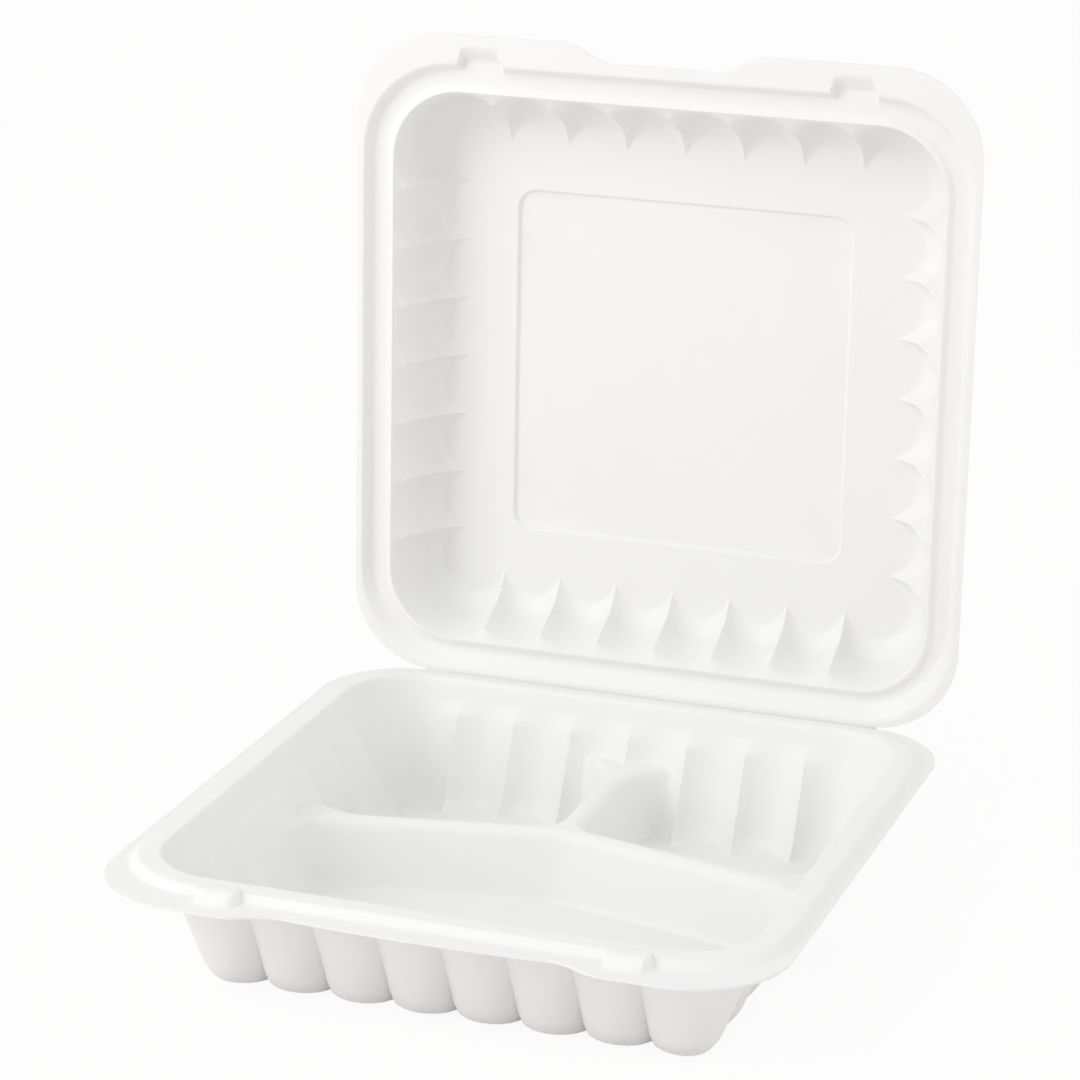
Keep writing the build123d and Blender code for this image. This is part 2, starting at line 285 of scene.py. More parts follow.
class ContainerStage(bpy.types.PropertyGroup):
    """Floor, light and camera."""

    floor_size: length("Floor size", "Width of the floor", 6000.0)
    floor_gap: length("Floor gap", "Space between the floor and the tray's underside", 0.05)
    floor_tint: colour("Floor", "Colour of the floor", (0.92, 0.888, 0.868))
    floor_rough: number("Floor roughness", "Roughness of the floor", 0.9)
    floor_white: number("Floor white", "Share of plain white that the camera sees on the floor", 0.9)
    ambient: number("Ambient", "Strength of the light from all round", 0.78)
    key_place: place("Key place", "Place of the key lamp", (-0.92, -0.89, 1.17))
    key_size: length("Key size", "Width of the key lamp", 900.0)
    key_power: number("Key power", "Power of the key lamp, in watts", 5.4)
    fill_place: place("Fill place", "Place of the fill lamp", (-1.16, -1.13, 0.52))
    fill_size: length("Fill size", "Width of the fill lamp", 900.0)
    fill_power: number("Fill power", "Power of the fill lamp, in watts", 5.0)
    side_place: place("Side place", "Place of the wide lamp on the right", (1.87, 0.03, 1.25))
    side_size: length("Side size", "Width of the wide lamp on the right", 2400.0)
    side_power: number("Side power", "Power of the wide lamp on the right, in watts", 8.5)
    lamp_target: place("Lamp target", "Point that the lamps face", (0.0, 0.03, 0.08))
    target: place("Target", "Point that the camera looks at", (-0.0386, 0.1053, 0.0895))
    distance: length("Distance", "Distance of the camera from its target", 1257.0)
    azimuth: angle("Azimuth", "Turn of the camera to the right of the front", 19.598)
    elevation: angle("Elevation", "Height of the camera over the level", 17.721)
    roll: angle("Roll", "Turn of the image", -0.618)
    sensor: number("Sensor", "Width of the camera's sensor in millimetres", 36.0)
    focal_length: number("Focal length", "Focal length of the lens in millimetres", 125.18)


def smooth_step(low, high, value):
    """Rises from 0 at low to 1 at high along 3q^2 - 2q^3."""
    share = np.clip((value - low) / (high - low), 0, 1)
    return share * share * (3 - 2 * share)


def soft_max(first, second, blend):
    """The larger of two heights, with a parabolic fillet where they are closer than the blend."""
    near = np.maximum(blend - np.abs(first - second), 0) / blend
    return np.maximum(first, second) + near * near * blend / 4


def rounded_box(x, y, half_width, front, fold, corner):
    """Signed distance to a rectangle from -front to +fold with round corners, negative inside.

    It is the length of what sticks out of the core rectangle, less the corner's radius.
    """
    out_x = np.abs(x) - half_width + corner
    out_y = np.abs(y - (fold - front) / 2) - (fold + front) / 2 + corner
    outside = np.hypot(np.maximum(out_x, 0), np.maximum(out_y, 0))
    return outside + np.minimum(np.maximum(out_x, out_y), 0) - corner


def halved(low, high, is_low):
    """The place between low and high where the test changes, by halving the span in whole arrays."""
    for _ in range(halvings):
        middle = (low + high) / 2
        below = is_low(middle)
        low, high = np.where(below, middle, low), np.where(below, high, middle)
    return (low + high) / 2


def rounded_profile(points, radii):
    """A line through the points with each inner corner replaced by an arc that touches both of its runs.

    The arc starts at radius * tan(half the turn) before the corner, and each of its points is the
    blend of the two tangent points and the corner with weights (1-t)^2, 2t(1-t)c and t^2 over their
    sum, which is an exact circle for c = cos(half the turn).
    """
    points = np.asarray(points, float)
    into = points[1:-1] - points[:-2]
    onward = points[2:] - points[1:-1]
    into /= np.linalg.norm(into, axis=1)[:, None]
    onward /= np.linalg.norm(onward, axis=1)[:, None]
    half_turn = np.arccos(np.clip((into * onward).sum(1), -1, 1)) / 2
    setback = (np.asarray(radii) * np.tan(half_turn))[:, None]
    first, last = points[1:-1] - into * setback, points[1:-1] + onward * setback
    t = np.linspace(0, 1, arc_steps)[None, :, None]
    middle = 2 * t * (1 - t) * np.cos(half_turn)[:, None, None]
    arcs = (1 - t) ** 2 * first[:, None] + middle * points[1:-1, None] + t**2 * last[:, None]
    arcs /= (1 - t) ** 2 + middle + t**2
    return np.concatenate([points[:1], arcs.reshape(-1, 2), points[-1:]])


def spaced(profile, step):
    """The same profile with points added so that none is further than the step from the next.

    A point closer than a sixth of the step to the one before it is left out.
    """
    gaps = np.linalg.norm(np.diff(profile, axis=0), axis=1)
    along = np.concatenate([[0], np.cumsum(gaps)])
    extra = np.linspace(0, along[-1], int(along[-1] / step) + 2)
    places = np.unique(np.round(np.concatenate([along, extra]), 7))
    places = places[np.concatenate([[True], np.diff(places) > step / 6])]
    return np.stack([np.interp(places, along, profile[:, axis]) for axis in (0, 1)], axis=1)


class Stations:
    """Stations around the opening: rays that start on an inner square and point squarely out of it.

    Each side has evenly spaced stations in each flute, and those of the extra ones that it is given that
    lie a tenth of a step or more from them.  Each corner of the square has a fan of rays.  A point is its
    ray's root plus its reach along the ray.
    """

    def __init__(self, sheet, extra):
        self.half = sheet.opening / 2
        self.row_end = self.half - sheet.opening_round
        self.pitch = 2 * self.row_end / (sheet.flutes + 1)
        even = np.linspace(-self.row_end, self.row_end, (sheet.flutes + 1) * sheet.flute_steps + 1)
        apart = self.pitch / sheet.flute_steps / 10
        fan = np.linspace(0, np.pi / 2, sheet.corner_steps + 1)[1:-1]
        roots, rays, places = [], [], []
        for turn, more in zip(quarter_turns, extra):
            clear = (np.abs(np.subtract.outer(more, even)).min(axis=1) > apart) & (np.abs(more) < self.row_end)
            along = np.sort(np.concatenate([even, more[clear]]))
            side_root = np.stack([along, np.full_like(along, -self.row_end)], axis=1)
            side_ray = np.tile([0.0, -1.0], (len(along), 1))
            fan_root = np.tile([self.row_end, -self.row_end], (len(fan), 1))
            fan_ray = np.stack([np.sin(fan), -np.cos(fan)], axis=1)
            roots.append(np.concatenate([side_root, fan_root]) @ turn.T)
            rays.append(np.concatenate([side_ray, fan_ray]) @ turn.T)
            places.append(np.concatenate([along, np.full(len(fan), np.nan)]))
        self.root, self.ray = np.concatenate(roots), np.concatenate(rays)
        self.along = np.concatenate(places)
        self.on_side = ~np.isnan(self.along)
        self.is_front = self.on_side & (np.arange(len(self.root)) < len(places[0]))

    def flute_drop(self, depth):
        """How far the fluted wall stands in from its outer line, for one flute depth per row.

        Across a flute of depth a and half pitch p it is R - sqrt(R^2 - s^2), where R = (p^2 + a^2) / 2a
        and s is the distance from the flute's middle, so it is 0 there and a at the cusps.
        """
        half_pitch = self.pitch / 2
        offset = np.nan_to_num(self.along + self.row_end)
        s = (offset + half_pitch) % self.pitch - half_pitch
        a = np.maximum(np.asarray(depth), half_pitch * 1e-4)[:, None]
        radius = (half_pitch**2 + a**2) / (2 * a)
        drop = radius - np.sqrt(np.maximum(radius**2 - s[None, :] ** 2, 0))
        return np.where(self.on_side[None, :], drop, 0)

    def at(self, reach):
        """Points at the given reach along each ray."""
        return self.root + self.ray * np.asarray(reach)[..., None]

    def reach_to(self, outline):
        """Reach at which each ray crosses an outline."""
        low, high = np.zeros(len(self.root)), np.full(len(self.root), self.half)
        return halved(low, high, lambda reach: outline(*self.at(reach).T) < 0)

    def rim_loop(self, half, fold, corner):
        """Reach of a square loop with round corners, whose side at the fold has a distance of its own."""
        return self.reach_to(lambda x, y: rounded_box(x, y, half, half, fold, corner))

    def inner_loop(self, side_reach, corner_reach):
        """Reach of a smooth loop inside the flutes' tips, which rises to another reach at the corners."""
        along = np.abs(np.nan_to_num(self.along, nan=self.row_end))
        rise = smooth_step(self.row_end - self.pitch * loop_rise, self.row_end, along)
        return side_reach + (corner_reach - side_reach) * rise


def between(first, last, shares):
    """Rows of reaches at the given shares of the way from one reach to another."""
    return first + shares[:, None] * (last - first)


def flange_reach(stations, sheet, half_cup):
    """Reach of the flange's edge: a rectangle with round corners, less a shallow notch at the front.

    The notch's bottom bows out in the middle as a parabola, and its two ends rise to the ears along a
    smooth step that is two fifths longer than the slanted ends.
    """
    fold = fold_place[1] - sheet.shut_gap / 2
    half = sheet.flange / 2

    def outline(x, y):
        front = rounded_box(x, y, half, sheet.ear, fold, sheet.front_round)
        back = rounded_box(x, y, half, sheet.ear, fold, sheet.fold_round)
        return np.where(y < 0, front, back)

    along = np.abs(np.nan_to_num(stations.along))
    slack = half_cup.notch_run / 5
    rise = smooth_step(half_cup.notch_half - slack, half_cup.notch_half + half_cup.notch_run + slack, along)
    bulge = half_cup.thumb_bulge * np.maximum(1 - (along / half_cup.notch_half) ** 2, 0)
    notch = np.where(stations.is_front, half_cup.notch_depth * (1 - rise) - bulge, 0)
    return stations.reach_to(outline) - notch


def lock_stations(sheet, grow):
    """Places along the front for extra stations beside the two ends of each lock."""
    end = sheet.lock_width / 2 + grow + np.arange(-lock_end_steps, lock_end_steps) * sheet.lock_step
    lock = np.concatenate([-end, end])
    return np.concatenate([lock - sheet.lock_spacing / 2, lock + sheet.lock_spacing / 2])


def lock_height_at(x, y, sheet, height, grow):
    """Height of the snap locks: a flat top whose sides fall away outside a rounded rectangle.

    The height falls along a smooth step of the distance outside the top's outline.  The side's run over
    the given height is the lock's taper, and at the front the distance is squeezed so that it is the ramp.
    """
    half_width = sheet.lock_width / 2 + grow - sheet.lock_taper
    rear = sheet.lock_length / 2 + grow - sheet.lock_taper
    front = sheet.lock_length / 2 + grow - sheet.lock_ramp
    behind = y + sheet.lock_reach
    behind = np.where(behind < -front, (behind + front) * sheet.lock_taper / sheet.lock_ramp - front, behind)
    over = rounded_box(np.abs(x) - sheet.lock_spacing / 2, behind, half_width, front, rear, sheet.lock_round)
    slack = sheet.lock_taper / 4
    return height * (1 - smooth_step(-slack, sheet.lock_taper + slack, over))


def cup_wall(stations, sheet, cup, mouth, lip, row_step):
    """Reach and depth of a cup's fluted wall, from the lip of its mouth to the edge of its floor.

    The profile is a band, the arched tops of the flutes, the wall, a sloped foot and the floor, with
    round corners.  The flutes grow along a smooth step that is as high as the arched tops and set a
    quarter of that height further up, and then evenly.
    """
    floor = cup.depth - sheet.wall
    knee = floor - cup.foot_height
    band_inset = (cup.band_depth - mouth) * math.tan(cup.band_draft)
    arch_inset = band_inset + (cup.arch_depth - cup.band_depth) * math.tan(cup.arch_draft)
    knee_inset = arch_inset + (knee - cup.arch_depth) * math.tan(cup.draft)
    profile = rounded_profile(
        [
            (-lip, mouth),
            (0, mouth),
            (band_inset, cup.band_depth),
            (arch_inset, cup.arch_depth),
            (knee_inset, knee),
            (knee_inset + cup.foot_run, floor),
            (knee_inset + cup.foot_run + cup.floor_lip, floor),
        ],
        [cup.lip_round, cup.arch_round, cup.arch_round, cup.knee_round, cup.floor_round],
    )
    inset, depth = spaced(profile, row_step).T
    slack = (cup.arch_depth - cup.band_depth) / 4
    flute = np.interp(depth, [cup.arch_depth, floor], [cup.flute_start, cup.flute_end])
    flute *= smooth_step(cup.band_depth - slack, cup.arch_depth - slack, depth)
    return sheet.opening_round - inset[:, None] - stations.flute_drop(flute), depth


def even_rows(plan, height, rows):
    """Places along each column that share out its length, its climbs and its bends evenly.

    The cost of each short stretch is its length, with the climb weighted, plus the bend in radians
    times a length.  The places are fractions of the column's samples at equal shares of the cost,
    which is averaged over the columns nearby so that the rows run smoothly from one to the next.
    All the columns are laid end to end, so that one interpolation serves them all.
    """
    samples, columns = height.shape
    run = np.linalg.norm(np.diff(plan, axis=0), axis=-1)
    climb = np.diff(height, axis=0)
    bend = np.abs(np.diff(np.arctan2(climb, run), axis=0, prepend=np.zeros((1, columns))))
    cost = np.hypot(run, climb_weight * climb) + bend_length * bend
    total = np.concatenate([np.zeros((1, columns)), np.cumsum(cost, axis=0)])
    shifts = range(-columns_nearby, columns_nearby + 1)
    total = sum(np.roll(total / total[-1], shift, axis=1) for shift in shifts)
    lane = 2 * np.arange(columns)
    known = total / total[-1] + lane
    wanted = np.linspace(0, 1, rows + 2)[1:-1, None] + lane
    share = np.tile(np.linspace(0, 1, samples)[:, None], (1, columns))
    return np.interp(wanted.T.ravel(), known.T.ravel(), share.T.ravel()).reshape(columns, rows).T


def corner_fillet(x, y, distance_a, distance_b, centre, toward_a, toward_b, radius):
    """Distance inside two lines whose corner is rounded: the smaller one, or in the corner radius - r."""
    dx, dy = x - centre[0], y - centre[1]
    beyond = (dx * toward_a[0] + dy * toward_a[1] > 0) & (dx * toward_b[0] + dy * toward_b[1] > 0)
    return np.where(beyond, radius - np.hypot(dx, dy), np.minimum(distance_a, distance_b))


def divider_height(x, y, tray):
    """Height of the Y-shaped divider over the shut face.

    Each compartment's plan is bounded by straight ridge lines with rounded corners.  Inside the plan
    the height falls by the distance over tan(draft), and a circle rounds the crest's shoulder.
    """
    across = np.abs(x)
    half = tray.ridge_width / 2
    sine, cosine = math.sin(tray.arm_sweep), math.cos(tray.arm_sweep)
    reach, corner, junction_round = tray.pocket_reach, tray.end_round, tray.junction_round
    arm = (y - tray.junction) * cosine + across * sine
    behind, before = arm - half, -arm - half
    side, back, ridge = reach - across, reach - y, across - half

    def on_arm(distance, place):
        """Point at a distance behind the arms' middle line and at a place across."""
        return place, tray.junction + (distance - place * sine) / cosine

    along_arm = (cosine, -sine)
    inner = on_arm(half + junction_round, half + junction_round)
    rear = corner_fillet(across, y, behind, ridge, inner, (-cosine, sine), (0, -1), junction_round)
    rear = np.minimum(rear, np.minimum(side, back))
    outer = on_arm(half + corner, reach - corner)
    rear = np.minimum(rear, corner_fillet(across, y, behind, side, outer, along_arm, (0, -1), corner))
    end = (half + corner, reach - corner)
    rear = np.minimum(rear, corner_fillet(across, y, ridge, back, end, (0, 1), (-1, 0), corner))
    front_outer = on_arm(-half - corner, reach - corner)
    front = corner_fillet(across, y, before, side, front_outer, along_arm, (0, 1), corner)
    bend = on_arm(-half - tray.bend_round, 0)
    front = np.minimum(
        front, corner_fillet(across, y, before, before, bend, (-cosine, sine), (cosine, sine), tray.bend_round)
    )
    inside = np.maximum(front, rear)

    radius = tray.ridge_round
    start = radius * math.tan((math.pi / 2 - tray.ridge_draft) / 2)
    end = start * math.sin(tray.ridge_draft)
    rolled = np.clip(inside + start, 0, start + end)
    shoulder = radius - np.sqrt(radius**2 - rolled**2)
    fall = np.where(inside < end, shoulder, inside / math.tan(tray.ridge_draft))
    return -tray.ridge_depth - fall


def sheet_mesh(name, points, middle, sheet, faces_up, placed):
    """A closed thin shell: the grid of points, a copy set off along the normals, and a strip round the edge.

    Rows run from the edge to the middle and stations run round.  The last row closes on the middle point.
    """
    rows, columns = points.shape[:2]
    front = np.concatenate([points.reshape(-1, 3), [middle]])
    index = np.arange(rows * columns).reshape(rows, columns)
    onward = np.roll(index, -1, axis=1)
    quads = np.stack([index[:-1], onward[:-1], onward[1:], index[1:]], axis=-1).reshape(-1, 4)
    fan = np.stack([index[-1], onward[-1], np.full(columns, rows * columns)], axis=-1)
    edge = np.stack([onward[0], index[0], index[0] + len(front), onward[0] + len(front)], axis=-1)
    if not faces_up:
        quads, fan, edge = quads[:, ::-1], fan[:, ::-1], edge[:, ::-1]
    draft = bpy.data.meshes.new(name + "_draft")
    draft.from_pydata(front, [], quads.tolist() + fan.tolist())
    normals = np.empty(len(front) * 3, np.float32)
    draft.vertex_normals.foreach_get("vector", normals)
    bpy.data.meshes.remove(draft)
    back = front - sheet.wall * normals.reshape(-1, 3)
    faces = [quads, quads[:, ::-1] + len(front), edge, fan, fan[:, ::-1] + len(front)]
    mesh = bpy.data.meshes.new(name)
    mesh.from_pydata(placed(np.concatenate([front, back])), [], [face for part in faces for face in part.tolist()])
    mesh.polygons.foreach_set("use_smooth", np.ones(len(mesh.polygons), bool))
    mesh.set_sharp_from_angle(angle=sheet.crease)
    mesh.update()
    return mesh


def add_piece(context, mesh):
    """The mesh as an object with the container's plastic."""
    piece = bpy.data.objects.new(mesh.name, mesh)
    context.scene.collection.objects.link(piece)
    mesh.materials.append(plastic_material(context.scene.container_finish))
    return piece


def tray_rim(stations, sheet, tray):
    """Reach and height of the tray's flange, its lock studs and its rim bead.

    The bead rises along a smooth step between its foot and its crest, and each stud stands over both.
    """
    edge = flange_reach(stations, sheet, tray)
    foot = stations.rim_loop(tray.bead_foot, tray.bead_foot, tray.bead_round)
    crest = stations.rim_loop(tray.bead_crest, tray.bead_fold_crest, tray.bead_round)
    soft = sheet.edge_soft
    land_end = sheet.opening_round + tray.lip
    flange_rows, bead_rows, crest_rows = tray_rim_rows
    flange = between(edge, foot + soft, np.linspace(0, 1, flange_rows))
    slope = between(foot + soft, crest - soft, np.linspace(0, 1, bead_rows + 1)[1:])
    land = between(crest - soft, land_end, np.linspace(0, 1, crest_rows + 2)[1:-1])
    reach = np.concatenate([flange, slope, land])
    level = -sheet.shut_gap / 2
    height = level + (tray.bead_height - level) * smooth_step(-foot - soft, -crest + soft, -reach)
    x, y = np.moveaxis(stations.at(reach), -1, 0)
    return reach, np.maximum(height, level + lock_height_at(x, y, sheet, sheet.lock_height - level, 0))


def tray_points(sheet, tray):
    """All points of the tray's sheet, and the point of its divider's junction.

    From the edge of the floor each column runs along its ray to a loop inside the flutes' tips, and
    then straight to the junction.  The height is the larger of the cup's and the divider's, with a
    fillet between them.
    """
    ridge = np.concatenate([-ridge_far, ridge_near, ridge_far])
    arm_end = tray.junction - math.tan(tray.arm_sweep) * (tray.pocket_reach - tray.end_round / 2)
    stations = Stations(sheet, [lock_stations(sheet, 0), ridge + arm_end, ridge, ridge - arm_end])
    rim, rim_height = tray_rim(stations, sheet, tray)
    wall, wall_depth = cup_wall(stations, sheet, tray, -tray.bead_height, tray.lip, tray_wall_step)
    apron = between(wall[-1], stations.inner_loop(*tray_loop), np.linspace(0, 1, apron_rows + 1)[1:])
    outer_plan = stations.at(np.concatenate([rim, wall, apron]))
    start, junction = outer_plan[-1], np.array([0, tray.junction])

    def raised(plan, height):
        divider = divider_height(plan[..., 0], plan[..., 1], tray)
        return np.where(height < -tray.band_depth, soft_max(height, divider, tray.ridge_foot), height)

    floor = sheet.wall - tray.depth
    samples = start + np.linspace(0, 1, floor_samples)[:, None, None] * (junction - start)
    share = even_rows(samples, raised(samples, np.full(samples.shape[:2], floor)), floor_rows)
    plan = np.concatenate([outer_plan, start + share[..., None] * (junction - start)])
    cup_height = np.full(plan.shape[:2], floor)
    cup_height[: len(rim)] = rim_height
    cup_height[len(rim) : len(rim) + len(wall)] = -wall_depth[:, None]
    height = raised(plan, cup_height)
    return np.concatenate([plan, height[..., None]], axis=-1), np.array([0, tray.junction, -tray.ridge_depth])


class OBJECT_OT_container_tray(bpy.types.Operator):
    """Build the fluted tray with its rim bead, lock studs and hollow Y-shaped divider"""

    bl_idname = "object.container_tray"
    bl_label = "Tray"

    def execute(self, context):
        sheet, tray = context.scene.container_sheet, context.scene.container_tray
        points, middle = tray_points(sheet, tray)
        lift = np.array([0, 0, tray.depth])
        piece = add_piece(context, sheet_mesh("fluted_tray", points, middle, sheet, True, lambda p: p + lift))
        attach(piece, tray_body)
        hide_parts("base_tray")
        return {"FINISHED"}


def lid_rim(stations, sheet, lid):
    """Reach and depth of the lid's flange, its lock sockets, its rim channel and the crest beside it."""
    edge = flange_reach(stations, sheet, lid)
    mouth = stations.rim_loop(lid.channel_mouth, lid.channel_fold_mouth, lid.channel_round)
    bed = stations.rim_loop(lid.channel_bed, lid.channel_fold_bed, lid.channel_round)
    foot_round = sheet.opening_round + lid.crest_foot - lid.crest_edge
    foot = stations.rim_loop(lid.crest_foot, lid.crest_foot, foot_round)
    crest = stations.rim_loop(lid.crest_edge, lid.crest_edge, sheet.opening_round)
    soft = sheet.edge_soft
    level = sheet.shut_gap / 2
    flange_rows, channel_rows, crest_rows = lid_rim_rows
    flange = between(edge, mouth + soft, np.linspace(0, 1, flange_rows))
    outer = between(mouth + soft, bed - soft, np.linspace(0, 1, channel_rows + 1)[1:])
    inner = between(foot + soft, crest - soft, np.linspace(0, 1, crest_rows))
    reach = np.concatenate([flange, outer, inner])
    depth = level + (lid.channel_depth - level) * smooth_step(-mouth - soft, -bed + soft, -reach)
    depth -= (lid.channel_depth - lid.crest_depth) * smooth_step(-foot - soft, -crest + soft, -reach)
    x, y = np.moveaxis(stations.at(reach), -1, 0)
    socket = lock_height_at(x, y, sheet, sheet.lock_height + sheet.snap_room - level, sheet.snap_room)
    return reach, np.maximum(depth, level + socket)


def lid_points(sheet, lid):
    """All points of the lid's sheet in its own frame: across, towards the fold, and depth behind the shut face.

    Rows run from the flange's edge through the rim channel, over the crest, along the fluted wall to
    the top, and over the raised panel's edge to the middle.
    """
    none = np.zeros(0)
    stations = Stations(sheet, [lock_stations(sheet, sheet.snap_room), none, none, none])
    rim, rim_depth = lid_rim(stations, sheet, lid)
    wall, wall_depth = cup_wall(stations, sheet, lid, lid.crest_depth, lid.crest_lip, lid_wall_step)
    apron = between(wall[-1], stations.inner_loop(*lid_loop), np.linspace(0, 1, apron_rows + 1)[1:])
    top = lid.depth - sheet.wall
    plan = stations.at(np.concatenate([rim, wall, apron]))
    depth = np.concatenate(
        [rim_depth, np.tile(wall_depth[:, None], (1, wall.shape[1])), np.full(apron.shape, top)]
    )

    def outside_panel(plan):
        x, y = np.moveaxis(plan, -1, 0)
        half_length = lid.panel_length / 2
        return rounded_box(x, y, lid.panel_width / 2, half_length, half_length, lid.panel_round)

    last = plan[-1]
    share = halved(np.zeros(len(last)), np.ones(len(last)), lambda s: outside_panel(last * (1 - s[:, None])) > 0)
    offsets = np.linspace(-0.5, 1.5, panel_rows)[:, None] * lid.panel_run / np.linalg.norm(last, axis=1)
    step = share + offsets
    approach = np.linspace(0, 1, approach_rows + 2)[1:-1, None] * step[0]
    inside = step[-1] + panel_shares[:, None] * (1 - step[-1])
    panel_plan = last * (1 - np.concatenate([approach, step, inside])[..., None])
    slack = lid.panel_run / 4
    panel_depth = top + lid.panel_height * smooth_step(-slack, lid.panel_run + slack, -outside_panel(panel_plan))
    plan, depth = np.concatenate([plan, panel_plan]), np.concatenate([depth, panel_depth])
    return np.concatenate([plan, depth[..., None]], axis=-1), np.array([0, 0, top + lid.panel_height])


def opened(points):
    """Points of the lid's own frame, turned open about the fold."""
    sine, cosine = math.sin(lid_open_angle), math.cos(lid_open_angle)
    back = points[:, 1] - fold_place[1]
    y = fold_place[1] + back * cosine + points[:, 2] * sine
    z = fold_place[2] - back * sine + points[:, 2] * cosine
    return np.stack([points[:, 0], y, z], axis=1)


class OBJECT_OT_container_lid(bpy.types.Operator):
    """Build the fluted lid with its rim channel, lock sockets and raised panel"""

    bl_idname = "object.container_lid"
    bl_label = "Lid"

    def execute(self, context):
        sheet, lid = context.scene.container_sheet, context.scene.container_lid
        points, middle = lid_points(sheet, lid)
        piece = add_piece(context, sheet_mesh("fluted_lid", points, middle, sheet, False, opened))
        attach(piece, lid_body)
        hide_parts("lid")
        return {"FINISHED"}


def fold_points(sheet, fold):
    """Points of the thin web in the fold: a short strip from the tray's edge round to the lid's.

    Across the strip a flat on the tray's side and one on the lid's side meet in the fold, set back
    behind both flanges, and the strip follows the fold's straight stretch between its round corners.
    """
    run = sheet.flange / 2 - sheet.fold_round + fold.overrun
    across = np.linspace(-run, run, fold_stations)
    dip = fold.dip + sheet.shut_gap / 2
    share = np.linspace(-1, 1, fold_steps)
    tray_side, lid_side = fold.flat * np.maximum(-share, 0), fold.flat * np.maximum(share, 0)
    back, half_open = fold_place[1] - tray_side, lid_open_angle / 2
    points = np.empty((len(across), len(share), 3))
    points[..., 0] = across[:, None]
    points[..., 1] = back - lid_side * math.cos(lid_open_angle) + dip * math.sin(half_open)
    points[..., 2] = fold_place[2] + lid_side * math.sin(lid_open_angle) - dip * math.cos(half_open)
    return points


class OBJECT_OT_container_fold(bpy.types.Operator):
    """Build the thin web of the living hinge between tray and lid"""

    bl_idname = "object.container_fold"
    bl_label = "Fold"

    def execute(self, context):
        fold = context.scene.container_fold
        points = fold_points(context.scene.container_sheet, fold)
        rows, columns = points.shape[:2]
        index = np.arange(rows * columns).reshape(rows, columns)
        quads = np.stack([index[:-1, :-1], index[1:, :-1], index[1:, 1:], index[:-1, 1:]], axis=-1).reshape(-1, 4)
        mesh = bpy.data.meshes.new("fold_web")
        mesh.from_pydata(points.reshape(-1, 3), [], quads.tolist())
        mesh.polygons.foreach_set("use_smooth", np.ones(len(mesh.polygons), bool))
        piece = add_piece(context, mesh)
        thickness = piece.modifiers.new("Thickness", "SOLIDIFY")
        thickness.thickness = fold.web
        thickness.offset = 0
        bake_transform(piece)
        return {"FINISHED"}


class Value:
    """One socket of a node tree, with arithmetic that adds the Math nodes."""

    def __init__(self, tree, socket):
        self.tree, self.socket = tree, socket

    @staticmethod
    def node(tree, kind, output, settings, inputs):
        """A new node of that kind: settings first, then values or links of its inputs."""
        made = tree.nodes.new(kind)
        for key, value in settings.items():
            setattr(made, key, value)
        for key, value in inputs.items():
            if isinstance(value, Value):
                tree.links.new(value.socket, made.inputs[key])
            else:
                made.inputs[key].default_value = value
        return Value(tree, made.outputs[output])

    def maths(self, operation, first, second):
        return Value.node(self.tree, "ShaderNodeMath", 0, {"operation": operation}, {0: first, 1: second})

    def __add__(self, other):
        return self.maths("ADD", self, other)

    __radd__ = __add__

    def __sub__(self, other):
        return self.maths("SUBTRACT", self, other)

    def __rsub__(self, other):
        return self.maths("SUBTRACT", other, self)

    def __mul__(self, other):
        return self.maths("MULTIPLY", self, other)

    __rmul__ = __mul__


def noise(tree, where, size, detail):
    """Soft noise from 0 to 1, with patches of that size."""
    return Value.node(tree, "ShaderNodeTexNoise", "Fac", {}, {"Vector": where, "Scale": 1 / size, "Detail": detail})


def plastic_material(finish):
    """Matte white filled plastic: faint clouds, a fine grain and a slightly uneven sheen."""
    name = "matte_white_plastic"
    if name in bpy.data.materials:
        return bpy.data.materials[name]
    material = bpy.data.materials.new(name)
    material.use_nodes = True
    tree = material.node_tree
    shader = tree.nodes["Principled BSDF"]
    where = Value.node(tree, "ShaderNodeTexCoord", "Object", {}, {})
    cloud = noise(tree, where, finish.cloud_size, finish.cloud_detail)
    grain = noise(tree, where, finish.grain_size, finish.grain_detail)
    shade = Value.node(
        tree, "ShaderNodeMix", 2, {"data_type": "RGBA"}, {0: cloud, 6: (*finish.tint, 1), 7: (*finish.cloud, 1)}
    )
    rough = finish.roughness + (cloud + grain - 1) * finish.unevenness
    bump = Value.node(
        tree, "ShaderNodeBump", "Normal", {},
        {"Strength": finish.grain_strength, "Distance": finish.grain_depth, "Height": grain},
    )
    for key, value in (("Base Color", shade), ("Roughness", rough), ("Normal", bump)):
        tree.links.new(value.socket, shader.inputs[key])
    shader.inputs["IOR"].default_value = finish.refraction
    return material


def seen_rays(tree):
    """1 for the rays of the camera, and for those that come to it off gloss or through glass."""
    path = Value.node(tree, "ShaderNodeLightPath", "Is Camera Ray", {}, {})
    outputs = path.socket.node.outputs
    return path + Value(tree, outputs["Is Glossy Ray"]) + Value(tree, outputs["Is Transmission Ray"])


def floor_material(stage):
    """Pale floor that the camera, gloss and glass see nearly white, with the object's shadow left on it."""
    material = bpy.data.materials.new("pale_floor")
    material.use_nodes = True
    tree = material.node_tree
    shader = tree.nodes["Principled BSDF"]
    shader.inputs["Base Color"].default_value = (*stage.floor_tint, 1)
    shader.inputs["Roughness"].default_value = stage.floor_rough
    glow = Value.node(tree, "ShaderNodeEmission", 0, {}, {"Color": white, "Strength": 1.0})
    mixed = Value.node(
        tree, "ShaderNodeMixShader", 0, {},
        {0: seen_rays(tree) * stage.floor_white, 1: Value(tree, shader.outputs[0]), 2: glow},
    )
    tree.links.new(mixed.socket, tree.nodes["Material Output"].inputs[0])
    return material


